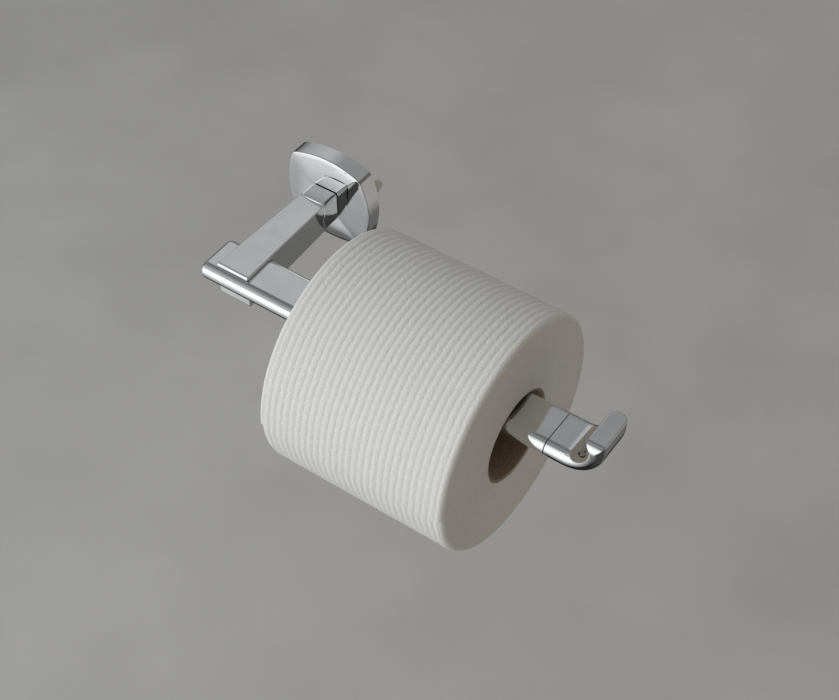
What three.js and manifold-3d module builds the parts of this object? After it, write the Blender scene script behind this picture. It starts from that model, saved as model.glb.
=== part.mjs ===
// Toilet paper holder: one wall post, a forked arm, an open-ended bar with an upturned end, and its roll.
//
// Millimetres. The origin is the middle of the escutcheon's back, on the wall plane.
// +X runs along the bar to its open end, +Y goes into the wall, +Z is up.
// Distances named "out" or "reach" are measured from the wall into the room, so y = -out.

import * as THREE from 'three';
import { mergeVertices } from 'three/addons/utils/BufferGeometryUtils.js';
import Module from 'manifold-3d';

const wasm = await Module();
wasm.setup();

// ---------------------------------------------------------------- driving dimensions

const GAP = 0.3; // left between pieces that touch
const THROUGH = 1; // how far a cutter runs past the face that it cuts

// Escutcheon: a square shell with bulging sides and a crowned front
const FLANGE_HALF = 25; // from the post's axis to the middle of a side
const FLANGE_SIDE_RADIUS = 53;
const FLANGE_CORNER_RADIUS = 5.5;
const FLANGE_RIM = 9; // depth of the side wall at the middle of a side
const FLANGE_CROWN = 2.2; // how far the middle of the front stands above that
const FLANGE_WALL = 1.8;
const FLANGE_POCKET = 7.2; // depth of the hollow behind the front

// Neck: the short block between the escutcheon and the arm
const NECK_WIDTH = 14.9;
const NECK_HEIGHT = 16.7;
const NECK_ROUND = 1.6;
const NECK_REACH = 20.5; // out to the corners of its bulging front
const SEAM_RADIUS = 18; // of the ball-shaped face between the neck and the arm
const TENON = 8.4; // square peg through the escutcheon

// Arm: tapers from the neck to a fork that holds the bar
const ARM_REACH = 83.3;
const ARM_WIDTH = 18.2;
const ARM_HEIGHT = 19.4;
const ARM_CHAMFER = 0.8;

// Bar: flat above and below, with full round noses
const BAR_FLAT = 15.6;
const BAR_THICKNESS = 9.2;
const BAR_TOP = 7.4; // height of its flat top above the arm's axis
const BAR_LENGTH = 192.7;
const BAR_OVERHANG = 7.7; // past the arm, on the closed side

// End cap: carries the bar on, turns up and ends in a lip
const CAP_STRAIGHT = 9.3;
const CAP_BEND = 9.2; // inner radius of the turn
const LIP_TOP = 21; // height of the lip's end above the arm's axis

// Fasteners
const BOLT_RADIUS = 2.5;
const BOLT_HEAD_RADIUS = 4.4;
const BOLT_HEAD = 2.8;
const BOLT_LENGTH = 30;
const BOLT_SOCKET_RADIUS = 2;
const BOLT_SOCKET_DEPTH = 1.7;
const WASHER_RADIUS = 7;
const WASHER_THICKNESS = 1;
const PIN_RADIUS = 1.25;
const PIN_LENGTH = 12;
const ARM_PIN_OFFSET = 5.7; // above and below the bolt
const BAR_SCREW_RADIUS = 2;
const BAR_SCREW_HEAD_RADIUS = 3.7;
const BAR_SCREW_HEAD = 2.2;
const BAR_SCREW_SOCKET_RADIUS = 1.25;
const BAR_SCREW_BITE = 5; // into the bar
const BAR_SCREW_OFFSET = 4.6; // to each side of the arm's axis
const STUD_RADIUS = 2.5;
const STUD_LENGTH = 20;
const CAP_PIN_OFFSET = 6.6; // in front of and behind the stud
const SET_SCREW_RADIUS = 2;
const SET_SCREW_OUT = 4.4;
const SET_SCREW_SOCKET_RADIUS = 1;
const SET_SCREW_SOCKET_DEPTH = 2;
const SET_BOSS_HALF = 4; // of the thick spot in the escutcheon's wall that the set screw runs in
const SET_BOSS_START = 1.2;

// Wall bracket and what fixes it
const BRACKET_INSET = 8; // from the escutcheon's side to the plate's edge
const BRACKET_CORNER = 3;
const BRACKET_PLATE = 1.6;
const TAB_WIDTH = 16;
const TAB_OUT = 6.6;
const TAB_INSET = 4.9; // from the escutcheon's side to the outside of each tab
const WALL_SCREW_EDGE = 6; // from the plate's edge to each screw
const WALL_SCREW_DROP = 5; // below the post's axis, clear of the bolt's head
const WALL_SCREW_RADIUS = 1.9;
const WALL_SCREW_HEAD_RADIUS = 3.7;
const WALL_SCREW_CROWN_RADIUS = 2.6; // of the head's flat top
const WALL_SCREW_HEAD = 2.2;
const WALL_SCREW_LENGTH = 18;
const CROSS_LENGTH = 3.7;
const CROSS_WIDTH = 0.9;
const CROSS_DEPTH = 1.1;
const SLOT_TRAVEL = 3; // levelling play in the right-hand hole
const ANCHOR_RADIUS = 3.1;
const ANCHOR_TIP_RADIUS = 2.2;
const ANCHOR_RIBS = 5;
const ANCHOR_LENGTH = 19;
const ANCHOR_COLLAR_RADIUS = 4.2;
const ANCHOR_COLLAR = 0.8;

// Roll of paper on its cardboard core
const ROLL_WIDTH = 100;
const ROLL_RADIUS = 60;
const ROLL_LEFT = 55.5; // from the arm's axis to the roll's near face
const ROLL_ROUND = 2.5;
const CORE_BORE_RADIUS = 22.2;
const CORE_WALL = 1.2;

// ---------------------------------------------------------------- sizes worked out from those

const FLANGE_FRONT = FLANGE_RIM + FLANGE_CROWN;
const BAR_NOSE = BAR_THICKNESS / 2;
const BAR_WIDTH = BAR_FLAT + BAR_THICKNESS;
const BAR_Z = BAR_TOP - BAR_NOSE;
const BAR_Y = -(ARM_REACH - BAR_FLAT / 2);
const BAR_START = -(ARM_WIDTH / 2 + BAR_OVERHANG);
const BAR_END = BAR_START + BAR_LENGTH;
const CAP_CENTRE_RADIUS = CAP_BEND + BAR_NOSE;
const ROLL_Z = BAR_Z - Math.sqrt((CORE_BORE_RADIUS - BAR_NOSE - GAP) ** 2 - (BAR_FLAT / 2) ** 2);
const CORE_RADIUS = CORE_BORE_RADIUS + CORE_WALL;
const BRACKET_HALF = FLANGE_HALF - BRACKET_INSET;
const TAB_TOP = FLANGE_HALF - TAB_INSET;
const WALL_SCREW_X = BRACKET_HALF - WALL_SCREW_EDGE;

const RIGHT = new THREE.Vector3(1, 0, 0);
const INTO_WALL = new THREE.Vector3(0, 1, 0);
const OUT = new THREE.Vector3(0, -1, 0);
const UP = new THREE.Vector3(0, 0, 1);
const LATHE_AXIS = new THREE.Vector3(0, 1, 0);

// ---------------------------------------------------------------- materials

const finish = (color, roughness, metalness) =>
  new THREE.MeshStandardMaterial({ color, roughness, metalness });
const CHROME = finish(0xd8dadb, 0.06, 1);
const ZINC = finish(0xa4a6a2, 0.45, 0.9);
const STEEL = finish(0xb9babb, 0.3, 1);
const NYLON = finish(0xe3e1da, 0.6, 0);
const PAPER = finish(0xe6e4de, 0.95, 0);
const CARDBOARD = finish(0x8a7358, 0.9, 0);

// ---------------------------------------------------------------- solids from geometry

// Closed geometry as a solid that can be joined and cut
function solid(geometry) {
  geometry.deleteAttribute('normal');
  geometry.deleteAttribute('uv');
  const merged = mergeVertices(geometry);
  return new wasm.Manifold(
    new wasm.Mesh({
      numProp: 3,
      vertProperties: merged.attributes.position.array,
      triVerts: new Uint32Array(merged.index.array),
    }),
  );
}

// A solid's triangles as geometry
function geometryOf(shape) {
  const mesh = shape.getMesh();
  const geometry = new THREE.BufferGeometry();
  geometry.setAttribute('position', new THREE.BufferAttribute(mesh.vertProperties, 3));
  geometry.setIndex(new THREE.BufferAttribute(mesh.triVerts, 1));
  geometry.computeVertexNormals();
  return geometry;
}

// Points along an arc, in degrees, both ends included
function arc(u, v, radius, from, to, steps) {
  const points = [];
  for (let step = 0; step <= steps; step += 1) {
    const angle = THREE.MathUtils.degToRad(from + ((to - from) * step) / steps);
    points.push(new THREE.Vector2(u + radius * Math.cos(angle), v + radius * Math.sin(angle)));
  }
  return points;
}

// Outline with full round ends, long along u
function stadium(flat, thickness) {
  const right = arc(flat / 2, 0, thickness / 2, -90, 90, 12);
  const left = arc(-flat / 2, 0, thickness / 2, 90, 270, 12);
  return [...right, ...left];
}

// Rectangle with round corners, centred
function roundedRectangle(width, height, radius) {
  const u = width / 2 - radius;
  const v = height / 2 - radius;
  return [
    ...arc(u, v, radius, 0, 90, 4),
    ...arc(-u, v, radius, 90, 180, 4),
    ...arc(-u, -v, radius, 180, 270, 4),
    ...arc(u, -v, radius, 270, 360, 4),
  ];
}

// The escutcheon's outline, moved in by inset: four shallow side arcs that run smoothly into corner arcs
function cushion(inset) {
  const sideCentre = FLANGE_HALF - FLANGE_SIDE_RADIUS;
  const reach = FLANGE_SIDE_RADIUS - FLANGE_CORNER_RADIUS;
  const corner = (sideCentre + Math.sqrt(2 * reach ** 2 - sideCentre ** 2)) / 2;
  const turn = THREE.MathUtils.radToDeg(Math.atan2(corner, corner - sideCentre));
  const points = [];
  for (let side = 0; side < 4; side += 1) {
    const facing = side * 90;
    const cos = Math.round(Math.cos(THREE.MathUtils.degToRad(facing)));
    const sin = Math.round(Math.sin(THREE.MathUtils.degToRad(facing)));
    const sideArc = arc(
      sideCentre * cos,
      sideCentre * sin,
      FLANGE_SIDE_RADIUS - inset,
      facing - turn,
      facing + turn,
      10,
    );
    const cornerArc = arc(
      corner * (cos - sin),
      corner * (cos + sin),
      FLANGE_CORNER_RADIUS - inset,
      facing + turn,
      facing + 90 - turn,
      6,
    );
    points.push(...sideArc.slice(0, -1), ...cornerArc.slice(0, -1));
  }
  return points;
}

// Which way an outline's u and v and the extrusion point, for each direction of extrusion
const FRAMES = {
  x: [INTO_WALL, UP, RIGHT],
  out: [RIGHT, UP, OUT],
  z: [RIGHT, INTO_WALL, UP],
};

// Outline pushed along x, out or z, from one distance to another
function prism(outline, along, from, to, centre = [0, 0]) {
  const geometry = new THREE.ExtrudeGeometry(new THREE.Shape(outline), {
    depth: to - from,
    bevelEnabled: false,
  });
  geometry.translate(centre[0], centre[1], from);
  geometry.applyMatrix4(new THREE.Matrix4().makeBasis(...FRAMES[along]));
  return solid(geometry);
}

// Box between two corners
function block(low, high) {
  const size = high.map((value, axis) => value - low[axis]);
  const middle = high.map((value, axis) => (value + low[axis]) / 2);
  return solid(new THREE.BoxGeometry(...size).translate(...middle));
}

// Profile of [radius, distance] pairs turned about a line that starts at a point
function turned(profile, direction, start, sides = 24) {
  const points = profile.map(([radius, distance]) => new THREE.Vector2(radius, distance));
  const geometry = new THREE.LatheGeometry(points, sides);
  geometry.applyQuaternion(new THREE.Quaternion().setFromUnitVectors(LATHE_AXIS, direction));
  return solid(geometry.translate(...start));
}

function rod(radius, length, direction, start, sides = 24) {
  return turned([[0, 0], [radius, 0], [radius, length], [0, length]], direction, start, sides);
}

function tube(bore, radius, length, direction, start, sides = 24) {
  const profile = [[bore, 0], [radius, 0], [radius, length], [bore, length], [bore, 0]];
  return turned(profile, direction, start, sides);
}

// ---------------------------------------------------------------- escutcheon, neck and arm

// Everything behind one arched front face that curves across x or across z
function crownSlab(along) {
  const radius = (FLANGE_HALF ** 2 + FLANGE_CROWN ** 2) / (2 * FLANGE_CROWN);
  const half = FLANGE_HALF + THROUGH;
  const swing = THREE.MathUtils.radToDeg(Math.asin(half / radius));
  const centre = radius - FLANGE_FRONT;
  if (along === 'z') {
    const front = arc(0, centre, radius, -90 - swing, -90 + swing, 16);
    const back = [new THREE.Vector2(half, THROUGH), new THREE.Vector2(-half, THROUGH)];
    return prism([...front, ...back], 'z', -half, half);
  }
  const front = arc(centre, 0, radius, 180 - swing, 180 + swing, 16);
  const back = [new THREE.Vector2(THROUGH, -half), new THREE.Vector2(THROUGH, half)];
  return prism([...front, ...back], 'x', -half, half);
}

function escutcheon() {
  const outside = prism(cushion(0), 'out', 0, FLANGE_FRONT + THROUGH)
    .intersect(crownSlab('x'))
    .intersect(crownSlab('z'));
  const pocket = prism(cushion(FLANGE_WALL), 'out', -THROUGH, FLANGE_POCKET);
  const opening = TENON / 2 + GAP;
  const window = block([-opening, -FLANGE_FRONT - THROUGH, -opening], [opening, 0, opening]);
  const boss = block(
    [-SET_BOSS_HALF, -FLANGE_POCKET - GAP, -FLANGE_HALF + GAP],
    [SET_BOSS_HALF, -SET_BOSS_START, -TAB_TOP - 2 * GAP],
  );
  const holeStart = [0, -SET_SCREW_OUT, -FLANGE_HALF - THROUGH];
  const screwHole = rod(SET_SCREW_RADIUS + GAP, TAB_INSET + THROUGH, UP, holeStart);
  return outside.subtract(pocket).add(boss).subtract(window).subtract(screwHole);
}

// The ball that shapes the neck's bulging front, and with grow the arm's hollow end
function seamBall(grow) {
  const cornerSquared = (NECK_WIDTH / 2) ** 2 + (NECK_HEIGHT / 2) ** 2;
  const centreOut = NECK_REACH - Math.sqrt(SEAM_RADIUS ** 2 - cornerSquared);
  const ball = new THREE.SphereGeometry(SEAM_RADIUS + grow, 64, 40);
  return solid(ball.rotateX(Math.PI / 2).translate(0, -centreOut, 0));
}

// Holes that the post bolt and the two arm pins need, in the neck and in the arm alike
function postHoles() {
  const boltEnd = FLANGE_POCKET + BOLT_LENGTH;
  const pinStart = -(NECK_REACH - PIN_LENGTH / 2);
  const bolt = rod(BOLT_RADIUS + GAP, boltEnd, OUT, [0, 0, 0]);
  const pin = (z) => rod(PIN_RADIUS + GAP, PIN_LENGTH + 2 * GAP, OUT, [0, pinStart + GAP, z], 16);
  return bolt.add(pin(ARM_PIN_OFFSET)).add(pin(-ARM_PIN_OFFSET));
}

function neck() {
  const outline = roundedRectangle(NECK_WIDTH, NECK_HEIGHT, NECK_ROUND);
  const body = prism(outline, 'out', FLANGE_FRONT + GAP, NECK_REACH + SEAM_RADIUS);
  const half = TENON / 2;
  const tenon = block([-half, -NECK_REACH, -half], [half, -FLANGE_POCKET - GAP, half]);
  return body.add(tenon).intersect(seamBall(0)).subtract(postHoles());
}

// Four-sided taper of the arm, with the chamfers across the top and bottom of its front
function armBlank() {
  const plan = [
    new THREE.Vector2(-NECK_WIDTH / 2, -NECK_REACH),
    new THREE.Vector2(NECK_WIDTH / 2, -NECK_REACH),
    new THREE.Vector2(ARM_WIDTH / 2, -ARM_REACH),
    new THREE.Vector2(-ARM_WIDTH / 2, -ARM_REACH),
  ];
  const side = [
    new THREE.Vector2(-NECK_REACH, -NECK_HEIGHT / 2),
    new THREE.Vector2(-NECK_REACH, NECK_HEIGHT / 2),
    new THREE.Vector2(-ARM_REACH + ARM_CHAMFER, ARM_HEIGHT / 2),
    new THREE.Vector2(-ARM_REACH, ARM_HEIGHT / 2 - ARM_CHAMFER),
    new THREE.Vector2(-ARM_REACH, -ARM_HEIGHT / 2 + ARM_CHAMFER),
    new THREE.Vector2(-ARM_REACH + ARM_CHAMFER, -ARM_HEIGHT / 2),
  ];
  return prism(plan, 'z', -ARM_HEIGHT, ARM_HEIGHT).intersect(prism(side, 'x', -ARM_WIDTH, ARM_WIDTH));
}

function arm() {
  const slot = prism(
    stadium(BAR_FLAT, BAR_THICKNESS + 2 * GAP),
    'x',
    -ARM_WIDTH,
    ARM_WIDTH,
    [BAR_Y, BAR_Z],
  );
  const blank = armBlank().subtract(seamBall(GAP)).subtract(postHoles()).subtract(slot);
  return blank.subtract(barScrewHole(-BAR_SCREW_OFFSET)).subtract(barScrewHole(BAR_SCREW_OFFSET));
}

// ---------------------------------------------------------------- bar and end cap

const BAR_SCREW_FLOOR = -ARM_HEIGHT / 2 + GAP; // the heads sit just inside the arm's underside
const BAR_SCREW_LENGTH = BAR_TOP - BAR_THICKNESS + BAR_SCREW_BITE - BAR_SCREW_FLOOR;

// Countersunk outline that a bar screw has, and with grow the hole that it needs
function barScrewProfile(grow) {
  return [
    [0, 0],
    [BAR_SCREW_HEAD_RADIUS + grow, 0],
    [BAR_SCREW_HEAD_RADIUS + grow, GAP],
    [BAR_SCREW_RADIUS + grow, BAR_SCREW_HEAD],
    [BAR_SCREW_RADIUS + grow, BAR_SCREW_LENGTH + grow],
    [0, BAR_SCREW_LENGTH + grow],
  ];
}

function barScrewHole(x) {
  const mouthStart = [x, BAR_Y, BAR_SCREW_FLOOR - THROUGH];
  const mouth = rod(BAR_SCREW_HEAD_RADIUS + GAP, THROUGH + GAP, UP, mouthStart);
  return turned(barScrewProfile(GAP), UP, [x, BAR_Y, BAR_SCREW_FLOOR]).add(mouth);
}

function barScrew(x) {
  const socketStart = [x, BAR_Y, BAR_SCREW_FLOOR - THROUGH];
  const socket = rod(BAR_SCREW_SOCKET_RADIUS, BAR_SCREW_HEAD + THROUGH, UP, socketStart, 6);
  return turned(barScrewProfile(0), UP, [x, BAR_Y, BAR_SCREW_FLOOR]).subtract(socket);
}

// Stud and pin holes across the seam between the bar and its end cap
function capHoles() {
  const pin = (offset) => {
    const start = [BAR_END - PIN_LENGTH / 2 - GAP, BAR_Y + offset, BAR_Z];
    return rod(PIN_RADIUS + GAP, PIN_LENGTH + 2 * GAP, RIGHT, start, 16);
  };
  const studStart = [BAR_END - STUD_LENGTH / 2 - GAP, BAR_Y, BAR_Z];
  const stud = rod(STUD_RADIUS + GAP, STUD_LENGTH + 2 * GAP, RIGHT, studStart);
  return stud.add(pin(CAP_PIN_OFFSET)).add(pin(-CAP_PIN_OFFSET));
}

function bar() {
  const section = stadium(BAR_FLAT, BAR_THICKNESS);
  const body = prism(section, 'x', BAR_START, BAR_END - GAP, [BAR_Y, BAR_Z]);
  return body
    .subtract(barScrewHole(-BAR_SCREW_OFFSET))
    .subtract(barScrewHole(BAR_SCREW_OFFSET))
    .subtract(capHoles());
}

// Middle line of the end cap: straight on from the bar, a quarter turn, then straight up
class CapPath extends THREE.Curve {
  getPoint(t, target = new THREE.Vector3()) {
    const turnLength = (CAP_CENTRE_RADIUS * Math.PI) / 2;
    const turnTop = BAR_Z + CAP_CENTRE_RADIUS;
    const distance = t * (CAP_STRAIGHT + turnLength + LIP_TOP - turnTop);
    const turnStart = BAR_END + CAP_STRAIGHT;
    if (distance < CAP_STRAIGHT) {
      return target.set(BAR_END + distance, BAR_Y, BAR_Z);
    }
    const angle = Math.min((distance - CAP_STRAIGHT) / CAP_CENTRE_RADIUS, Math.PI / 2);
    const rise = Math.max(distance - CAP_STRAIGHT - turnLength, 0);
    return target.set(
      turnStart + CAP_CENTRE_RADIUS * Math.sin(angle),
      BAR_Y,
      turnTop - CAP_CENTRE_RADIUS * Math.cos(angle) + rise,
    );
  }
}

// What the lip may fill, seen along the bar: its front top corner is as round as the bar's nose
function lipEnvelope() {
  const front = BAR_Y - BAR_WIDTH / 2;
  const back = BAR_Y + BAR_WIDTH / 2 + THROUGH;
  const bottom = BAR_Z - BAR_THICKNESS;
  const outline = [
    new THREE.Vector2(back, bottom),
    new THREE.Vector2(back, LIP_TOP),
    ...arc(front + BAR_NOSE, LIP_TOP - BAR_NOSE, BAR_NOSE, 90, 180, 8),
    new THREE.Vector2(front, bottom),
  ];
  return prism(outline, 'x', BAR_END - THROUGH, BAR_END + BAR_LENGTH);
}

function endCap() {
  // The section's first axis is the bar's thickness here, so the stadium is turned on its side
  const section = stadium(BAR_FLAT, BAR_THICKNESS).map((point) => new THREE.Vector2(-point.y, point.x));
  const swept = new THREE.ExtrudeGeometry(new THREE.Shape(section), {
    steps: 36,
    bevelEnabled: false,
    extrudePath: new CapPath(),
  });
  return solid(swept).intersect(lipEnvelope()).subtract(capHoles());
}

// ---------------------------------------------------------------- post fasteners and pins

function postWasher() {
  const start = [0, -(FLANGE_POCKET - GAP), 0];
  return tube(BOLT_RADIUS + GAP, WASHER_RADIUS, WASHER_THICKNESS, INTO_WALL, start, 32);
}

function postBolt() {
  const headBottom = FLANGE_POCKET - 2 * GAP - WASHER_THICKNESS;
  const headTop = headBottom - BOLT_HEAD;
  const profile = [
    [0, 0],
    [BOLT_HEAD_RADIUS, 0],
    [BOLT_HEAD_RADIUS, BOLT_HEAD],
    [BOLT_RADIUS, BOLT_HEAD],
    [BOLT_RADIUS, BOLT_HEAD + BOLT_LENGTH],
    [0, BOLT_HEAD + BOLT_LENGTH],
  ];
  const socketStart = [0, -headTop + THROUGH, 0];
  const socket = rod(BOLT_SOCKET_RADIUS, BOLT_SOCKET_DEPTH + THROUGH, OUT, socketStart, 6);
  return turned(profile, OUT, [0, -headTop, 0]).subtract(socket);
}

function armPin(z) {
  return rod(PIN_RADIUS, PIN_LENGTH, OUT, [0, -(NECK_REACH - PIN_LENGTH / 2), z], 16);
}

function capPin(offset) {
  return rod(PIN_RADIUS, PIN_LENGTH, RIGHT, [BAR_END - PIN_LENGTH / 2, BAR_Y + offset, BAR_Z], 16);
}

function capStud() {
  return rod(STUD_RADIUS, STUD_LENGTH, RIGHT, [BAR_END - STUD_LENGTH / 2, BAR_Y, BAR_Z]);
}

// Locks the escutcheon to the bracket's lower tab, from the underside
function setScrew() {
  const bottom = -FLANGE_HALF + GAP;
  const socketStart = [0, -SET_SCREW_OUT, bottom - THROUGH];
  const socket = rod(SET_SCREW_SOCKET_RADIUS, SET_SCREW_SOCKET_DEPTH + THROUGH, UP, socketStart, 6);
  return rod(SET_SCREW_RADIUS, -TAB_TOP - GAP - bottom, UP, [0, -SET_SCREW_OUT, bottom]).subtract(socket);
}

// ---------------------------------------------------------------- wall bracket and its fixings

function wallBracket() {
  const outline = roundedRectangle(2 * BRACKET_HALF, 2 * BRACKET_HALF, BRACKET_CORNER);
  const plate = prism(outline, 'out', 0, BRACKET_PLATE);
  const tab = (side) => {
    const outside = side * TAB_TOP;
    const inside = side * (TAB_TOP - BRACKET_PLATE);
    const low = Math.min(outside, inside);
    const high = Math.max(outside, inside);
    return block([-TAB_WIDTH / 2, -TAB_OUT, low], [TAB_WIDTH / 2, 0, high]);
  };
  const web = block([-TAB_WIDTH / 2, -BRACKET_PLATE, -TAB_TOP], [TAB_WIDTH / 2, 0, TAB_TOP]);
  const holeRadius = WALL_SCREW_RADIUS + GAP;
  const holeLength = BRACKET_PLATE + 2 * THROUGH;
  const left = rod(holeRadius, holeLength, OUT, [-WALL_SCREW_X, THROUGH, -WALL_SCREW_DROP]);
  const right = prism(
    stadium(SLOT_TRAVEL, 2 * holeRadius),
    'out',
    -THROUGH,
    BRACKET_PLATE + THROUGH,
    [WALL_SCREW_X, -WALL_SCREW_DROP],
  );
  return plate.add(web).add(tab(1)).add(tab(-1)).subtract(left).subtract(right);
}

function wallScrew(x) {
  const headTop = BRACKET_PLATE + GAP + WALL_SCREW_HEAD;
  const total = WALL_SCREW_HEAD + WALL_SCREW_LENGTH;
  const point = 2 * WALL_SCREW_RADIUS;
  const profile = [
    [0, 0],
    [WALL_SCREW_CROWN_RADIUS, 0],
    [WALL_SCREW_HEAD_RADIUS, WALL_SCREW_HEAD / 2],
    [WALL_SCREW_HEAD_RADIUS, WALL_SCREW_HEAD],
    [WALL_SCREW_RADIUS, WALL_SCREW_HEAD],
    [WALL_SCREW_RADIUS, total - point],
    [0, total],
  ];
  const length = CROSS_LENGTH / 2;
  const width = CROSS_WIDTH / 2;
  const bottom = -(headTop - CROSS_DEPTH);
  const z = -WALL_SCREW_DROP;
  const across = block([x - length, -headTop - THROUGH, z - width], [x + length, bottom, z + width]);
  const upright = block([x - width, -headTop - THROUGH, z - length], [x + width, bottom, z + length]);
  return turned(profile, INTO_WALL, [x, -headTop, z]).subtract(across).subtract(upright);
}

// Ribbed plug with an open mouth and a blind end
function wallAnchor(x) {
  const bore = WALL_SCREW_RADIUS + GAP;
  const ribPitch = (ANCHOR_LENGTH - ANCHOR_COLLAR) / (ANCHOR_RIBS + 1);
  const boreEnd = WALL_SCREW_LENGTH - BRACKET_PLATE + GAP;
  const profile = [[bore, 0], [ANCHOR_COLLAR_RADIUS, 0], [ANCHOR_COLLAR_RADIUS, ANCHOR_COLLAR]];
  for (let rib = 0; rib < ANCHOR_RIBS; rib += 1) {
    const start = ANCHOR_COLLAR + rib * ribPitch;
    profile.push([ANCHOR_RADIUS, start + GAP], [ANCHOR_RADIUS - GAP, start + ribPitch]);
  }
  profile.push([ANCHOR_TIP_RADIUS, ANCHOR_LENGTH], [0, ANCHOR_LENGTH], [0, boreEnd]);
  profile.push([bore, boreEnd - 2 * WALL_SCREW_RADIUS], [bore, 0]);
  return turned(profile, INTO_WALL, [x, GAP, -WALL_SCREW_DROP]);
}

// ---------------------------------------------------------------- roll

function cardboardCore() {
  return tube(CORE_BORE_RADIUS, CORE_RADIUS, ROLL_WIDTH, RIGHT, [ROLL_LEFT, BAR_Y, ROLL_Z], 96);
}

function paperRoll() {
  const bore = CORE_RADIUS + GAP;
  const shoulder = ROLL_RADIUS - ROLL_ROUND;
  const nearEdge = arc(shoulder, ROLL_ROUND, ROLL_ROUND, -90, 0, 4);
  const farEdge = arc(shoulder, ROLL_WIDTH - ROLL_ROUND, ROLL_ROUND, 0, 90, 4);
  const profile = [...nearEdge, ...farEdge].map((point) => [point.x, point.y]);
  profile.push([bore, ROLL_WIDTH], [bore, 0], profile[0]);
  return turned(profile, RIGHT, [ROLL_LEFT, BAR_Y, ROLL_Z], 96);
}

// ---------------------------------------------------------------- assembly

const group = new THREE.Group();

function place(name, shape, material, parent) {
  const mesh = new THREE.Mesh(geometryOf(shape), material);
  mesh.name = name;
  parent.add(mesh);
}

const holder = new THREE.Group();
place('escutcheon', escutcheon(), CHROME, holder);
place('neck', neck(), CHROME, holder);
place('arm', arm(), CHROME, holder);
place('bar', bar(), CHROME, holder);
place('end_cap', endCap(), CHROME, holder);
place('post_bolt', postBolt(), STEEL, holder);
place('post_washer', postWasher(), STEEL, holder);
place('arm_pin_upper', armPin(ARM_PIN_OFFSET), STEEL, holder);
place('arm_pin_lower', armPin(-ARM_PIN_OFFSET), STEEL, holder);
place('bar_screw_left', barScrew(-BAR_SCREW_OFFSET), STEEL, holder);
place('bar_screw_right', barScrew(BAR_SCREW_OFFSET), STEEL, holder);
place('end_cap_stud', capStud(), STEEL, holder);
place('end_cap_pin_front', capPin(-CAP_PIN_OFFSET), STEEL, holder);
place('end_cap_pin_rear', capPin(CAP_PIN_OFFSET), STEEL, holder);
place('set_screw', setScrew(), STEEL, holder);
place('wall_bracket', wallBracket(), ZINC, holder);
place('wall_screw_left', wallScrew(-WALL_SCREW_X), STEEL, holder);
place('wall_screw_right', wallScrew(WALL_SCREW_X), STEEL, holder);
place('wall_anchor_left', wallAnchor(-WALL_SCREW_X), NYLON, holder);
place('wall_anchor_right', wallAnchor(WALL_SCREW_X), NYLON, holder);
group.add(holder);

const roll = new THREE.Group();
place('cardboard_core', cardboardCore(), CARDBOARD, roll);
place('paper_roll', paperRoll(), PAPER, roll);
group.add(roll);

export default group;
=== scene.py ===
# Looks of the toilet paper holder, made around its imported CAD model.
#
# Metres, in the part's own frame: the origin is the middle of the escutcheon's back, on the wall plane.
# +X runs along the bar to its open end, +Y goes into the wall, +Z is up.
# Distances named "out" are measured from the wall into the room, so y = -out.

import math

import bmesh
import bpy
import numpy as np
from mathutils import Matrix, Quaternion, Vector


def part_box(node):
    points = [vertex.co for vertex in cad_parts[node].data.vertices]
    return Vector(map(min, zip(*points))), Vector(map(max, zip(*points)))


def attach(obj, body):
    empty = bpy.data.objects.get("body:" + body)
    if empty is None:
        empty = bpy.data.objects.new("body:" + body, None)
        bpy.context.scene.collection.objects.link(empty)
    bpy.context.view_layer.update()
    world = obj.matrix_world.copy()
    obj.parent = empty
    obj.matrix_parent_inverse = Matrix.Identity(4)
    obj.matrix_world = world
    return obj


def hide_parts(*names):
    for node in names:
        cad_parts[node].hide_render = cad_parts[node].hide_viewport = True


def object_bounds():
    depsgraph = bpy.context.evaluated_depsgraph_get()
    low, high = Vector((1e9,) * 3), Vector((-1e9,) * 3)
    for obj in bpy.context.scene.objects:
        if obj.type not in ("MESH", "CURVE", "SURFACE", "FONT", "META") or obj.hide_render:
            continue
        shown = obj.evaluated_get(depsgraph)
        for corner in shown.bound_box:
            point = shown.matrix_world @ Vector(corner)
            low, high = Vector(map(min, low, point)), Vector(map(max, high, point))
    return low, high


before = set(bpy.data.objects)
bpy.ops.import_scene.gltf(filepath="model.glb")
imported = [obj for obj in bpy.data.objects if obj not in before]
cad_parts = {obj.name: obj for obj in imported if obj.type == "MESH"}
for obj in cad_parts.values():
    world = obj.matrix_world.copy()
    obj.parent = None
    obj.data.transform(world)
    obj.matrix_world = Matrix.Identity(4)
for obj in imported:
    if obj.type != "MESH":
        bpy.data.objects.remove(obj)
cad_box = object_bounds()

# ---------------------------------------------------------------- places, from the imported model

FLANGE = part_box("escutcheon")
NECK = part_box("neck")
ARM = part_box("arm")
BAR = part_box("bar")
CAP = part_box("end_cap")
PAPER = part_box("paper_roll")
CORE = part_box("cardboard_core")
SET_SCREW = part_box("set_screw")

# ---------------------------------------------------------------- sizes that a box doesn't give

GAP = 0.0003  # left between pieces that touch
THROUGH = 0.001  # how far a cutter runs past the face that it cuts

FLANGE_SIDE_RADIUS = 0.053  # of the shallow arc along each side
FLANGE_CORNER_RADIUS = 0.0055
FLANGE_CROWN = 0.0022  # how far the middle of the front stands above the middle of a side
FLANGE_WALL = 0.0018
FLANGE_POCKET = 0.0072  # depth of the hollow behind the front
FLANGE_CREST = 0.0007  # radius of the edge between the sides and the front
FLANGE_RIDGE = 7  # sharpness of the four diagonal ridges on the front
TENON_HALF = 0.0042  # half of the neck's square peg

NECK_ROUND = 0.0016  # radius of its four long edges
NECK_REACH = 0.0205  # out to the corners of its bulging front
SEAM_RADIUS = 0.018  # of the ball-shaped face between the neck and the arm

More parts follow.
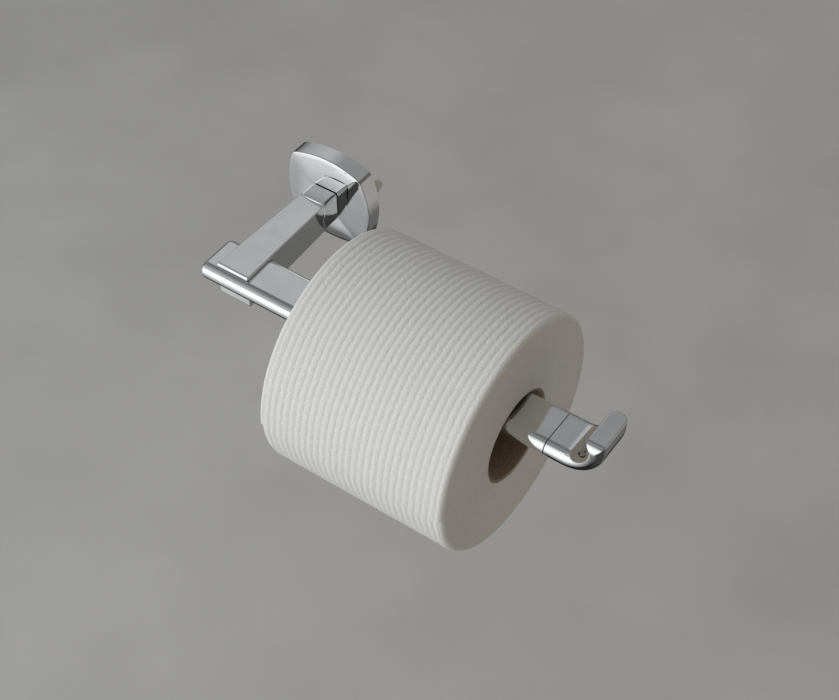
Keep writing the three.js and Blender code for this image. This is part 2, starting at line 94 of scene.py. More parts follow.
ARM_CHAMFER = 0.0008  # across the top and bottom of its front
CAP_BEND = 0.0092  # inner radius of the end cap's turn

BOLT_RADIUS = 0.0025
SCREW_RADIUS = 0.002
SCREW_HEAD = 0.0022  # depth of a bar screw's countersunk head

EDGE = 0.0002  # rounding of the chromed pieces' edges
ARM_EDGE = 0.0004  # rounding of the arm's long edges
SEAM_EDGE = 0.00015  # rounding where two chromed pieces meet
BAR_END_EDGE = 0.0021  # rounding of the bar's closed end
LIP_EDGE = 0.0009  # rounding round the top of the end cap's lip

# ---------------------------------------------------------------- sizes worked out from those

FLANGE_HALF = FLANGE[1].x
FLANGE_FRONT = -FLANGE[0].y
CROWN_RADIUS = (FLANGE_HALF**2 + FLANGE_CROWN**2) / (2 * FLANGE_CROWN)
WINDOW_HALF = TENON_HALF + GAP
NECK_HALF_WIDTH = NECK[1].x
NECK_HALF_HEIGHT = NECK[1].z
SEAM_CENTRE_OUT = NECK_REACH - math.sqrt(SEAM_RADIUS**2 - NECK_HALF_WIDTH**2 - NECK_HALF_HEIGHT**2)
ARM_HALF_WIDTH = ARM[1].x
ARM_HALF_HEIGHT = ARM[1].z
ARM_REACH = -ARM[0].y
BAR_THICKNESS = BAR[1].z - BAR[0].z
BAR_NOSE = BAR_THICKNESS / 2
BAR_Y = (BAR[0].y + BAR[1].y) / 2
BAR_Z = BAR[1].z - BAR_NOSE
BAR_FLAT = BAR[1].y - BAR[0].y - BAR_THICKNESS
BAR_END = CAP[0].x
LIP_TOP = CAP[1].z
CAP_STRAIGHT = CAP[1].x - CAP[0].x - CAP_BEND - BAR_THICKNESS
CAP_CENTRE_RADIUS = CAP_BEND + BAR_NOSE
SET_SCREW_RADIUS = SET_SCREW[1].x
PAPER_RADIUS = (PAPER[1].y - PAPER[0].y) / 2
PAPER_Y = (PAPER[0].y + PAPER[1].y) / 2
PAPER_Z = (PAPER[0].z + PAPER[1].z) / 2
CORE_RADIUS = (CORE[1].y - CORE[0].y) / 2


# ---------------------------------------------------------------- outlines


def arc(u, v, radius, start, end, steps):
    """Points along an arc, in degrees, both ends included."""
    angles = [math.radians(start + (end - start) * step / steps) for step in range(steps + 1)]
    return [(u + radius * math.cos(angle), v + radius * math.sin(angle)) for angle in angles]


def stadium(flat, thickness):
    """Outline with full round ends, long along u. Two points near the ends of each flat keep it flat."""
    steps = 32
    half = flat / 2
    support = half - EDGE
    right = arc(half, 0, thickness / 2, -90, 90, steps)
    left = arc(-half, 0, thickness / 2, 90, 270, steps)
    top = [(support, thickness / 2), (-support, thickness / 2)]
    bottom = [(-support, -thickness / 2), (support, -thickness / 2)]
    return right + top + left + bottom


def rounded_rectangle(half_width, half_height, radius):
    steps = 8
    u = half_width - radius
    v = half_height - radius
    points = []
    for corner, (side_u, side_v) in enumerate([(1, 1), (-1, 1), (-1, -1), (1, -1)]):
        points += arc(u * side_u, v * side_v, radius, 90 * corner, 90 * corner + 90, steps)
    return points


def cushion(inset):
    """The escutcheon's outline, moved in by inset: four shallow side arcs that run into corner arcs."""
    side_steps = 24
    corner_steps = 10
    side_centre = FLANGE_HALF - FLANGE_SIDE_RADIUS
    reach = FLANGE_SIDE_RADIUS - FLANGE_CORNER_RADIUS
    corner = (side_centre + math.sqrt(2 * reach**2 - side_centre**2)) / 2
    turn = math.degrees(math.atan2(corner, corner - side_centre))
    side_radius = FLANGE_SIDE_RADIUS - inset
    corner_radius = FLANGE_CORNER_RADIUS - inset
    quarter = arc(side_centre, 0, side_radius, -turn, turn, side_steps)[:-1]
    quarter += arc(corner, corner, corner_radius, turn, 90 - turn, corner_steps)[:-1]
    points = []
    for cos, sin in [(1, 0), (0, 1), (-1, 0), (0, -1)]:
        points += [(u * cos - v * sin, u * sin + v * cos) for u, v in quarter]
    return points


def onto_square(point, half):
    """The point of a centred square's outline that lies in the same direction."""
    reach = max(abs(point[0]), abs(point[1]))
    return (point[0] * half / reach, point[1] * half / reach)


# ---------------------------------------------------------------- meshes


def mesh_piece(name, points, faces):
    mesh = bpy.data.meshes.new(name)
    mesh.from_pydata(points, [], faces)
    piece = bpy.data.objects.new(name, mesh)
    bpy.context.scene.collection.objects.link(piece)
    shell = bmesh.new()
    shell.from_mesh(mesh)
    bmesh.ops.recalc_face_normals(shell, faces=shell.faces)
    shell.to_mesh(mesh)
    shell.free()
    return piece


def loft(name, rings, closed=False):
    """Rings of equal count joined in order, with flat ends, or closed from the last ring to the first."""
    count = len(rings[0])
    faces = []
    for row in range(len(rings) if closed else len(rings) - 1):
        near = row * count
        far = (row + 1) % len(rings) * count
        for step in range(count):
            after = (step + 1) % count
            faces.append((near + step, near + after, far + after, far + step))
    if not closed:
        faces.append(tuple(range(count)))
        faces.append(tuple(range((len(rings) - 1) * count, len(rings) * count)))
    return mesh_piece(name, [point for ring in rings for point in ring], faces)


def turned(name, profile, start, direction, sides=48):
    """Profile of (radius, distance) pairs turned about a line that starts at a point."""
    turn = Vector(direction).to_track_quat("Z", "Y").to_matrix()
    rings = []
    for radius, distance in profile:
        ring = [Vector((u, v, distance)) for u, v in arc(0, 0, radius, 0, 360, sides)[:-1]]
        rings.append([Vector(start) + turn @ point for point in ring])
    return loft(name, rings)


def rod(name, radius, length, start, direction):
    return turned(name, [(radius, 0), (radius, length)], start, direction)


def block(name, low, high):
    """A box between two opposite corners."""
    corners = [(low[0], low[1]), (high[0], low[1]), (high[0], high[1]), (low[0], high[1])]
    return loft(name, [[Vector((*corner, z)) for corner in corners] for z in (low[2], high[2])])


def apply_modifiers(piece):
    """Keeps the mesh that the modifiers make, and removes them."""
    ready = piece.evaluated_get(bpy.context.evaluated_depsgraph_get())
    made = bpy.data.meshes.new_from_object(ready)
    old = piece.data
    piece.modifiers.clear()
    piece.data = made
    bpy.data.meshes.remove(old)


def combine(piece, tool, operation):
    """Joins or cuts the piece with a tool, which is used up."""
    step = piece.modifiers.new("combine", "BOOLEAN")
    step.operation = operation
    step.solver = "EXACT"
    step.object = tool
    apply_modifiers(piece)
    bpy.data.objects.remove(tool)


def cut(piece, *tools):
    for tool in tools:
        combine(piece, tool, "DIFFERENCE")


def soften(piece, width, angle=30):
    """Rounds every edge that is sharper than an angle."""
    rounding = piece.modifiers.new("rounding", "BEVEL")
    rounding.width = width
    rounding.segments = 4
    rounding.limit_method = "ANGLE"
    rounding.angle_limit = math.radians(angle)
    apply_modifiers(piece)


def smooth(piece, sharp=40):
    """Smooth shading that keeps broad faces flat and edges sharper than an angle crisp."""
    piece.data.shade_smooth()
    piece.data.set_sharp_from_angle(angle=math.radians(sharp))
    weighting = piece.modifiers.new("weighting", "WEIGHTED_NORMAL")
    weighting.keep_sharp = True
    apply_modifiers(piece)


def stand_for(piece, node, body, material):
    """The piece takes a CAD node's place, its body and its finish."""
    piece.data.materials.clear()
    piece.data.materials.append(material)
    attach(piece, body)
    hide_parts(node)


# ---------------------------------------------------------------- materials


class Finish:
    """A material on one Principled shader, with helpers for the patterns that drive it."""

    PATTERN_LOW = 0.3  # a noise pattern's useful range
    PATTERN_HIGH = 0.7

    def __init__(self, name, constants):
        self.material = bpy.data.materials.new(name)
        self.material.use_nodes = True
        self.nodes = self.material.node_tree.nodes
        self.links = self.material.node_tree.links
        self.shader = self.nodes["Principled BSDF"]
        for socket, value in constants.items():
            self.shader.inputs[socket].default_value = value
        self.place = self.nodes.new("ShaderNodeTexCoord").outputs["Object"]

    def link(self, output, target):
        self.links.new(output, target)

    def stretched(self, scale):
        """The object's coordinates, scaled along each axis."""
        mapping = self.nodes.new("ShaderNodeMapping")
        mapping.inputs["Scale"].default_value = scale
        self.link(self.place, mapping.inputs["Vector"])
        return mapping.outputs["Vector"]

    def speckle(self, size, detail=2, place=None):
        """Noise with features of a size in metres, from 0 to 1."""
        texture = self.nodes.new("ShaderNodeTexNoise")
        texture.inputs["Scale"].default_value = 1 / size
        texture.inputs["Detail"].default_value = detail
        self.link(place or self.place, texture.inputs["Vector"])
        return texture.outputs["Fac"]

    def between(self, pattern, low, high):
        """A number that runs from low to high with the pattern."""
        span = self.nodes.new("ShaderNodeMapRange")
        span.inputs["From Min"].default_value = self.PATTERN_LOW
        span.inputs["From Max"].default_value = self.PATTERN_HIGH
        span.inputs["To Min"].default_value = low
        span.inputs["To Max"].default_value = high
        self.link(pattern, span.inputs["Value"])
        return span.outputs["Result"]

    def blend(self, pattern, dark, light):
        """A colour that runs from dark to light with the pattern."""
        ramp = self.nodes.new("ShaderNodeValToRGB")
        ramp.color_ramp.elements[0].position = self.PATTERN_LOW
        ramp.color_ramp.elements[0].color = (*dark, 1)
        ramp.color_ramp.elements[1].position = self.PATTERN_HIGH
        ramp.color_ramp.elements[1].color = (*light, 1)
        self.link(pattern, ramp.inputs["Fac"])
        return ramp.outputs["Color"]

    def relief(self, *patterns):
        """Bump from pairs of a pattern and its height in metres."""
        normal = None
        for pattern, height in patterns:
            bump = self.nodes.new("ShaderNodeBump")
            bump.inputs["Distance"].default_value = height
            self.link(pattern, bump.inputs["Height"])
            if normal:
                self.link(normal, bump.inputs["Normal"])
            normal = bump.outputs["Normal"]
        self.link(normal, self.shader.inputs["Normal"])


def metal(name, dark, light, smoothest, roughest, grain, height):
    """Bare or plated metal with cloudy polish, fine hairlines and a ripple of a given grain and height."""
    cloud_size = 0.012
    hairline_size = 0.0006
    hairline_stretch = (0.08, 1, 1)
    hairline_height = height / 8
    finish = Finish(name, {"Metallic": 1.0})
    cloud = finish.speckle(cloud_size, 3)
    hairline = finish.speckle(hairline_size, 2, finish.stretched(hairline_stretch))
    finish.link(finish.blend(cloud, dark, light), finish.shader.inputs["Base Color"])
    polish = finish.between(cloud, smoothest, roughest)
    finish.link(polish, finish.shader.inputs["Roughness"])
    finish.relief((finish.speckle(grain, 2), height), (hairline, hairline_height))
    return finish.material


CHROME = metal(
    "chrome_plate",
    dark=(0.76, 0.77, 0.78),
    light=(0.83, 0.84, 0.85),
    smoothest=0.025,
    roughest=0.06,
    grain=0.006,
    height=4e-7,
)
STEEL = metal(
    "steel_fastener",
    dark=(0.48, 0.48, 0.48),
    light=(0.60, 0.60, 0.59),
    smoothest=0.22,
    roughest=0.38,
    grain=0.0008,
    height=4e-6,
)
ZINC = metal(
    "cast_zinc",
    dark=(0.40, 0.41, 0.40),
    light=(0.52, 0.53, 0.52),
    smoothest=0.38,
    roughest=0.55,
    grain=0.0005,
    height=2e-5,
)


def nylon():
    """Off-white moulded plastic with a fine matt skin."""
    cloud_size = 0.006
    skin_size = 0.0004
    skin_height = 1.5e-5
    finish = Finish("nylon_plug", {"Subsurface Weight": 0.1, "Subsurface Scale": 0.002})
    cloud = finish.speckle(cloud_size, 3)
    tint = finish.blend(cloud, (0.70, 0.69, 0.65), (0.78, 0.77, 0.73))
    finish.link(tint, finish.shader.inputs["Base Color"])
    finish.link(finish.between(cloud, 0.45, 0.6), finish.shader.inputs["Roughness"])
    finish.relief((finish.speckle(skin_size, 2), skin_height))
    return finish.material


def tissue():
    """Soft paper with a fine embossed grain and fibres that are longer round the roll than along it."""
    grain_size = 0.0009
    fibre_stretch = (1, 0.45, 0.45)
    emboss_height = 0.00022
    fibre_height = 0.0001
    sheen = {"Specular IOR Level": 0.15, "Sheen Weight": 0.12, "Sheen Roughness": 0.6}
    finish = Finish("tissue_paper", sheen)
    fibre = finish.speckle(grain_size, 4, finish.stretched(fibre_stretch))
    emboss_and_dip_shade = finish.speckle(grain_size, 1)
    # the colour follows the embossing: darker in its dips and lighter on its raised dots, a painted shade
    # of the relief
    tint = finish.blend(emboss_and_dip_shade, (0.80, 0.795, 0.775), (0.87, 0.865, 0.845))
    finish.link(tint, finish.shader.inputs["Base Color"])
    finish.link(finish.between(fibre, 0.85, 1.0), finish.shader.inputs["Roughness"])
    finish.relief((emboss_and_dip_shade, emboss_height), (fibre, fibre_height))
    return finish.material


def cardboard():
    """Grey-brown board with flecks."""
    fleck_size = 0.0012
    fleck_height = 6e-5
    cloud_size = 0.015
    finish = Finish("core_board", {"Specular IOR Level": 0.2})
    fleck = finish.speckle(fleck_size, 4)
    cloud = finish.speckle(cloud_size, 3)
    tint = finish.blend(fleck, (0.28, 0.215, 0.155), (0.42, 0.335, 0.25))
    finish.link(tint, finish.shader.inputs["Base Color"])
    finish.link(finish.between(cloud, 0.8, 0.95), finish.shader.inputs["Roughness"])
    finish.relief((fleck, fleck_height))
    return finish.material


NYLON = nylon()
TISSUE = tissue()
CARDBOARD = cardboard()

# ---------------------------------------------------------------- escutcheon


def crown_out(x, z):
    """How far out the escutcheon's arched front is, with soft diagonal ridges."""
    across = (abs(x) ** FLANGE_RIDGE + abs(z) ** FLANGE_RIDGE) ** (1 / FLANGE_RIDGE)
    return FLANGE_FRONT - across**2 / (2 * CROWN_RADIUS)


def escutcheon():
    crest_steps = 6
    front_rows = 28
    edge = [crown_out(x, z) - FLANGE_CREST for x, z in cushion(0)]
    rings = [[Vector((x, 0, z)) for x, z in cushion(0)]]
    rings.append([Vector((x, -GAP, z)) for x, z in cushion(0)])
    for step in range(crest_steps + 1):
        angle = math.radians(90 * step / crest_steps)
        outline = cushion(FLANGE_CREST * (1 - math.cos(angle)))
        rise = FLANGE_CREST * math.sin(angle)
        rings.append([Vector((x, -out - rise, z)) for (x, z), out in zip(outline, edge)])
    crest = cushion(FLANGE_CREST)
    window = [onto_square(point, WINDOW_HALF) for point in crest]
    for row in range(1, front_rows + 1):
        share = row / front_rows
        ring = [Vector(a).lerp(Vector(b), share) for a, b in zip(crest, window)]
        rings.append([Vector((x, -crown_out(x, z), z)) for x, z in ring])
    pocket = cushion(FLANGE_WALL)
    rings.append([Vector((x, -FLANGE_POCKET, z)) for x, z in window])
    rings.append([Vector((x, -FLANGE_POCKET, z)) for x, z in pocket])
    rings.append([Vector((x, 0, z)) for x, z in pocket])
    piece = loft("escutcheon_shell", rings, closed=True)
    drill_escutcheon(piece)
    smooth(piece, sharp=30)
    stand_for(piece, "escutcheon", "holder", CHROME)


def drill_escutcheon(piece):
    """The thick spot in the lower wall, and the set screw's hole through it."""
    bracket_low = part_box("wall_bracket")[0].z
    middle_out = -(SET_SCREW[0].y + SET_SCREW[1].y) / 2
    boss_half = 2 * SET_SCREW_RADIUS
    boss_back = middle_out - 1.6 * SET_SCREW_RADIUS
    low_corner = (-boss_half, -FLANGE_POCKET - GAP, -FLANGE_HALF + GAP)
    high_corner = (boss_half, -boss_back, bracket_low - 2 * GAP)
    combine(piece, block("boss", low_corner, high_corner), "UNION")
    start = (0, -middle_out, SET_SCREW[0].z - THROUGH)
    length = SET_SCREW[1].z - SET_SCREW[0].z + 2 * THROUGH
    cut(piece, rod("hole", SET_SCREW_RADIUS + GAP, length, start, (0, 0, 1)))


# ---------------------------------------------------------------- neck and arm


def drill(piece, node, axis, radius=None):
    """A clearance hole round a CAD rod, as long as the rod. Axis is 0 for x, 1 for y."""
    low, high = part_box(node)
    start = (low + high) / 2
    start[axis] = low[axis] - GAP
    direction = Vector((0, 0, 0))
    direction[axis] = 1
    rod_radius = radius or (high.z - low.z) / 2
    length = high[axis] - low[axis] + 2 * GAP
    cut(piece, rod("hole", rod_radius + GAP, length, start, direction))


def drill_post(piece):
    drill(piece, "post_bolt", 1, BOLT_RADIUS)
    drill(piece, "arm_pin_upper", 1)
    drill(piece, "arm_pin_lower", 1)


def seam_out(x, z):
    """How far out the ball-shaped seam face is."""
    return SEAM_CENTRE_OUT + math.sqrt(SEAM_RADIUS**2 - x**2 - z**2)


def neck():
    front_rows = 10
    outline = rounded_rectangle(NECK_HALF_WIDTH, NECK_HALF_HEIGHT, NECK_ROUND)
    peg = [onto_square(point, TENON_HALF) for point in outline]
    back = FLANGE_FRONT + GAP
    rings = [[Vector((x, -FLANGE_POCKET - GAP, z)) for x, z in peg]]
    rings.append([Vector((x, -back, z)) for x, z in peg])
    rings.append([Vector((x, -back, z)) for x, z in outline])
    for row in range(front_rows):
        share = 1 - row / front_rows
        ring = [(x * share, z * share) for x, z in outline]
        rings.append([Vector((x, -seam_out(x, z), z)) for x, z in ring])
    piece = loft("neck_block", rings)
    drill_post(piece)
    soften(piece, SEAM_EDGE, angle=40)
    smooth(piece)
    stand_for(piece, "neck", "holder", CHROME)


def arm_blank():
    """Four-sided taper, with the chamfers across the top and bottom of its front."""
    flare = (ARM_HALF_WIDTH - NECK_HALF_WIDTH) / (ARM_REACH - NECK_REACH)
    sections = [
        (NECK_REACH, NECK_HALF_HEIGHT),
        (ARM_REACH - ARM_CHAMFER, ARM_HALF_HEIGHT),
        (ARM_REACH, ARM_HALF_HEIGHT - ARM_CHAMFER),
    ]
    rings = []
    for out, half_height in sections:
        half_width = NECK_HALF_WIDTH + flare * (out - NECK_REACH)
        corners = [(1, 1), (-1, 1), (-1, -1), (1, -1)]
        rings.append([Vector((half_width * x, -out, half_height * z)) for x, z in corners])
    return loft("arm_fork", rings)


def ball(name, radius):
    """A ball on the seam's centre, round an axis that runs out from the wall."""
    rows = 96
    profile = []
    for row in range(1, rows):
        angle = math.pi * row / rows
        profile.append((radius * math.sin(angle), -radius * math.cos(angle)))
    return turned(name, profile, (0, -SEAM_CENTRE_OUT, 0), (0, -1, 0), sides=128)


def bar_screw_hole(node):
    """Countersunk hole round a bar screw, with an open mouth under the arm."""
    low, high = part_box(node)
    middle = (low + high) / 2
    head = high.x - middle.x + GAP
    shank = SCREW_RADIUS + GAP
    length = high.z - low.z
    profile = [(head, -THROUGH), (head, 2 * GAP), (shank, SCREW_HEAD + GAP), (shank, length + GAP)]
    return turned("hole", profile, (middle.x, middle.y, low.z), (0, 0, 1))


def arm():
    piece = arm_blank()
    soften(piece, ARM_EDGE)
    section = stadium(BAR_FLAT, BAR_THICKNESS + 2 * GAP)
    ends = (-2 * ARM_HALF_WIDTH, 2 * ARM_HALF_WIDTH)
    slot_rings = [[Vector((x, BAR_Y + u, BAR_Z + v)) for u, v in section] for x in ends]
    cut(piece, ball("hollow", SEAM_RADIUS + GAP / 2), loft("slot", slot_rings))
    cut(piece, bar_screw_hole("bar_screw_left"), bar_screw_hole("bar_screw_right"))
    drill_post(piece)
    soften(piece, EDGE)
    smooth(piece)
    stand_for(piece, "arm", "holder", CHROME)


# ---------------------------------------------------------------- bar and end cap


def drill_cap(piece):
    drill(piece, "end_cap_stud", 0)
    drill(piece, "end_cap_pin_front", 0)
    drill(piece, "end_cap_pin_rear", 0)


def rounded_end(radius, steps=6):
    """Pairs of an inset and a distance from the end face, round a quarter turn."""
    angles = [math.radians(90 * step / steps) for step in range(steps + 1)]
    return [(radius * (1 - math.sin(a)), radius * (1 - math.cos(a))) for a in angles]


def bar():
    def ring(x, inset):
        section = stadium(BAR_FLAT, BAR_THICKNESS - 2 * inset)
        return [Vector((x, BAR_Y + u, BAR_Z + v)) for u, v in section]

    closed_end = rounded_end(BAR_END_EDGE)
    seam_end = rounded_end(SEAM_EDGE, 3)
    rings = [ring(BAR[0].x + depth, inset) for inset, depth in closed_end]
    rings += [ring(BAR[1].x - depth, inset) for inset, depth in reversed(seam_end)]
    piece = loft("bar_rail", rings)
    cut(piece, bar_screw_hole("bar_screw_left"), bar_screw_hole("bar_screw_right"))
    drill_cap(piece)
    smooth(piece)
    stand_for(piece, "bar", "holder", CHROME)


def cap_path():
    """Point and inward direction at each step along the end cap's middle line."""
    turn_steps = 60
    start = BAR_END + CAP_STRAIGHT
    turn_top = BAR_Z + CAP_CENTRE_RADIUS
    path = []
    for step in range(turn_steps + 1):
        angle = math.radians(90 * step / turn_steps)
        x = start + CAP_CENTRE_RADIUS * math.sin(angle)
        z = turn_top - CAP_CENTRE_RADIUS * math.cos(angle)
        path.append((Vector((x, BAR_Y, z)), Vector((-math.sin(angle), 0, math.cos(angle)))))
    return path


def lip_envelope():
    """What the lip may fill, seen along the bar: its front top corner is as round as the bar's nose."""
    clearance = EDGE / 10
    front = CAP[0].y - clearance
    back = CAP[1].y + THROUGH
    bottom = CAP[0].z - THROUGH
    top = LIP_TOP + clearance
    outline = [(back, bottom), (back, top)]
    outline += arc(front + BAR_NOSE, top - BAR_NOSE, BAR_NOSE, 90, 180, 32)
    outline.append((front, bottom))
    ends = (CAP[0].x - THROUGH, CAP[1].x + THROUGH)
    return loft("envelope", [[Vector((x, y, z)) for y, z in outline] for x in ends])


def end_cap():
    def ring(centre, inward, inset=0.0):
        section = stadium(BAR_FLAT, BAR_THICKNESS - 2 * inset)
        return [centre + Vector((0, u, 0)) + inward * v for u, v in section]

    up = Vector((0, 0, 1))
    rings = []
    for inset, depth in rounded_end(SEAM_EDGE, 3):
        rings.append(ring(Vector((BAR_END + depth, BAR_Y, BAR_Z)), up, inset))
    rings += [ring(centre, inward) for centre, inward in cap_path()]
    end, inward = cap_path()[-1]
    for inset, depth in reversed(rounded_end(LIP_EDGE)):
        rings.append(ring(Vector((end.x, end.y, LIP_TOP - depth)), inward, inset))
    piece = loft("end_cap_lip", rings)
    combine(piece, lip_envelope(), "INTERSECT")
    drill_cap(piece)
    soften(piece, EDGE, angle=25)
    smooth(piece)
    stand_for(piece, "end_cap", "holder", CHROME)


# ---------------------------------------------------------------- roll

RIDGES = 29  # embossed ridges round the paper
RIDGE_DEPTH = 0.00024
RIDGE_SAMPLES = 10  # rings of points in each ridge
RIDGE_WOBBLE = 0.06  # ridges that the embossing wanders sideways, slowly
RIDGE_SHAKE = 0.04  # and quickly
GROOVE_SHARPNESS = 1.8
BEADS = 150  # pressed beads round the roll in each groove
BEAD_SHARE = 0.4  # how much the beads change the groove's depth
ROUND_STEPS = 480  # points round the roll
LAP_ANGLE = 0.0  # where the loose end of the paper lies, upwards from straight ahead
LAP_STEP = 0.0005  # thickness of the outer sheet
LAP_LIFT = 0.0005  # how far the loose end stands off
LAP_SPREAD = 0.05  # share of a turn over which it lies down again
LAP_CRISP = 0.0004  # share of a turn that the step at the loose end takes
LAP_SHIFT = 0.4  # ridges that the outer sheet is out of step with the one under it
EDGE_ROUND = 0.003  # of the paper's two outer edges
BORE_CLEARANCE = 0.0003  # between the paper and the core
LAYER_PITCH = 0.0009  # of the fine rings on the roll's ends
LAYER_RELIEF = 0.00006
END_WAVE = 0.0001  # how far the roll's ends wave in and out
BOARD = 0.0012  # thickness of the core's wall
BOARD_LAP = 0.00012  # height of the step where its plies meet
BOARD_TURNS = 1.1  # of the spiral along the core
CORE_RECESS = 0.0006  # how far the core is set into the paper


def turn_shares():
    """Shares of a turn round the roll, closer together just beside the loose end."""
    even = np.arange(1, ROUND_STEPS) / ROUND_STEPS
    return np.concatenate([[0.0, LAP_CRISP], even, [1 - LAP_CRISP]])


def round_roll(x, radius, share):
    """A ring of points round the roll's axis."""
    angle = math.radians(LAP_ANGLE) + 2 * math.pi * share
    y = PAPER_Y - radius * np.cos(angle)
    z = PAPER_Z + radius * np.sin(angle)
    return np.stack([np.broadcast_to(x, y.shape), y, z], axis=-1)


def slow_wave(share, seed, waves):
    """A smooth sum of waves round the roll, from about -1 to 1."""
    phases = np.random.default_rng(seed).uniform(0, 2 * math.pi, len(waves))
    total = sum(np.sin(2 * math.pi * count * share + phase) for count, phase in zip(waves, phases))
    return total / len(waves)


def swell(turns):
    """A wave from 0 to 1 and back in every turn."""
    return 0.5 + 0.5 * np.cos(2 * math.pi * turns)


def sheet_radius(share):
    """Radius of the outer sheet: largest at its loose end, one sheet smaller a turn later."""
    lift = LAP_LIFT * (1 - np.exp(-share / LAP_SPREAD))
    return PAPER_RADIUS - lift - LAP_STEP * share


def ridge_relief(along, share):
    """How deep the embossed grooves are at a distance along the roll, row by row round it."""
    pitch = (PAPER[1].x - PAPER[0].x) / RIDGES
    wobble = RIDGE_WOBBLE * slow_wave(share, 3, (7, 13, 31))
    shake = RIDGE_SHAKE * slow_wave(share, 4, (61, 83))
    phase = along / pitch + LAP_SHIFT * share + wobble + shake
    groove = swell(phase) ** GROOVE_SHARPNESS
    stagger = 0.5 * np.floor(phase)
    bead = 1 + BEAD_SHARE * np.cos(2 * math.pi * (BEADS * share + stagger))
    return RIDGE_DEPTH * groove * bead


def paper_rings():
    """Rings from the bore out over one end, along the roll, and back over the other end."""
    share = turn_shares()
    low, high = PAPER[0].x, PAPER[1].x
    bore = CORE_RADIUS + BORE_CLEARANCE
    outer = sheet_radius(share)
    shoulder = outer - EDGE_ROUND
    end_rows = 34
    round_rows = 7

    def end_face(x, inwards):
        """Rings of one end from the bore to the shoulder, lightly grooved by the edges of the sheets."""
        rows = []
        for row in range(1, end_rows + 1):
            radius = bore + (shoulder - bore) * row / end_rows
            grooves = LAYER_RELIEF * swell(radius / LAYER_PITCH) * (row / end_rows)
            wave = END_WAVE * (1 + slow_wave(share, row, (2, 3, 5)))
            rows.append(round_roll(x + inwards * (grooves + wave), radius, share))
        return rows

    def edge(x, inwards):
        """Rings of one rounded edge, from the shoulder to the outer surface."""
        rows = []
        for row in range(1, round_rows):
            angle = math.pi / 2 * row / round_rows
            depth = EDGE_ROUND * (1 - math.cos(angle))
            fade = (row / round_rows) ** 2
            radius = shoulder + EDGE_ROUND * math.sin(angle) - fade * ridge_relief(depth, share)
            rows.append(round_roll(x + inwards * depth, radius, share))
        return rows

    rings = [round_roll(low, bore, share)] + end_face(low, 1) + edge(low, 1)
    count = RIDGES * RIDGE_SAMPLES
    for row in range(count + 1):
        x = low + EDGE_ROUND + (high - low - 2 * EDGE_ROUND) * row / count
        rings.append(round_roll(x, outer - ridge_relief(x - low, share), share))
    rings += list(reversed(end_face(high, -1) + edge(high, -1)))
    rings.append(round_roll(high, bore, share))
    return rings


def paper_roll():
    piece = loft("tissue_roll", [ring.tolist() for ring in paper_rings()], closed=True)
    smooth(piece, sharp=60)
    stand_for(piece, "paper_roll", "roll", TISSUE)


def cardboard_core():
    """Board tube wound in a spiral, with a shallow step where its plies meet."""
    sides = 192
    rows = 100
    bore = CORE_RADIUS - BOARD
    low, high = CORE[0].x + CORE_RECESS, CORE[1].x - CORE_RECESS
    share = np.arange(sides) / sides

    def ring(x, radius):
        return round_roll(x, np.broadcast_to(radius, share.shape), share)

    rings = [ring(low, CORE_RADIUS), ring(high, CORE_RADIUS)]
    for row in range(rows + 1):
        x = high - (high - low) * row / rows
        winding = (share + BOARD_TURNS * (x - low) / (high - low)) % 1
        rings.append(ring(x, bore + BOARD_LAP * winding))
    piece = loft("core_tube", [points.tolist() for points in rings], closed=True)
    smooth(piece, sharp=50)
    stand_for(piece, "cardboard_core", "roll", CARDBOARD)


# ---------------------------------------------------------------- CAD pieces that stay


def dress(material, *names):
    """A better finish and shading for CAD pieces whose shape is right."""
    for name in names:
        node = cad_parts[name]
        node.data.materials.clear()
        node.data.materials.append(material)
        node.data.shade_smooth()
        node.data.set_sharp_from_angle(angle=math.radians(30))


def dress_hardware():
    dress(STEEL, "post_bolt", "post_washer", "arm_pin_upper", "arm_pin_lower", "end_cap_stud")
    dress(STEEL, "end_cap_pin_front", "end_cap_pin_rear", "set_screw")
    dress(STEEL, "bar_screw_left", "bar_screw_right", "wall_screw_left", "wall_screw_right")
    dress(ZINC, "wall_bracket")
    dress(NYLON, "wall_anchor_left", "wall_anchor_right")


# ---------------------------------------------------------------- floor, light and camera

FLOOR_DROP = 0.3  # below the object
FLOOR_HALF = 3.0


def floor():
    """A pale, softly clouded floor, which the chrome doesn't mirror."""
    cloud_size = 0.12
    height = cad_box[0].z - FLOOR_DROP
    sides = [(-1, -1), (1, -1), (1, 1), (-1, 1)]
    corners = [(FLOOR_HALF * x, FLOOR_HALF * y, height) for x, y in sides]
    piece = mesh_piece("floor", corners, [(0, 1, 2, 3)])
    finish = Finish("pale_floor", {"Roughness": 0.9, "Specular IOR Level": 0.1})
    cloud = finish.speckle(cloud_size, 4)
    tint = finish.blend(cloud, (0.58, 0.57, 0.56), (0.65, 0.64, 0.63))
    finish.link(tint, finish.shader.inputs["Base Color"])
    piece.data.materials.append(finish.material)
    piece.visible_glossy = False


def softbox(name, direction, width, radiance, colour):
    """A rectangular light that faces the object, with a given brightness, and isn't mirrored by it."""
    distance = 1.3
    height = 0.8
    centre = (cad_box[0] + cad_box[1]) / 2
    light = bpy.data.lights.new(name, "AREA")
    light.shape = "RECTANGLE"
    light.size = width
    light.size_y = height
    light.energy = radiance * math.pi * width * height
    light.color = colour
    lamp = bpy.data.objects.new(name, light)
    lamp.visible_glossy = False
    bpy.context.scene.collection.objects.link(lamp)
    towards = Vector(direction).normalized()
    up = towards.cross(Vector((1, 0, 0))).normalized()
    level = up.cross(towards)
    turn = Matrix((level, up, towards)).transposed().to_4x4()
    lamp.matrix_world = Matrix.Translation(centre + towards * distance) @ turn


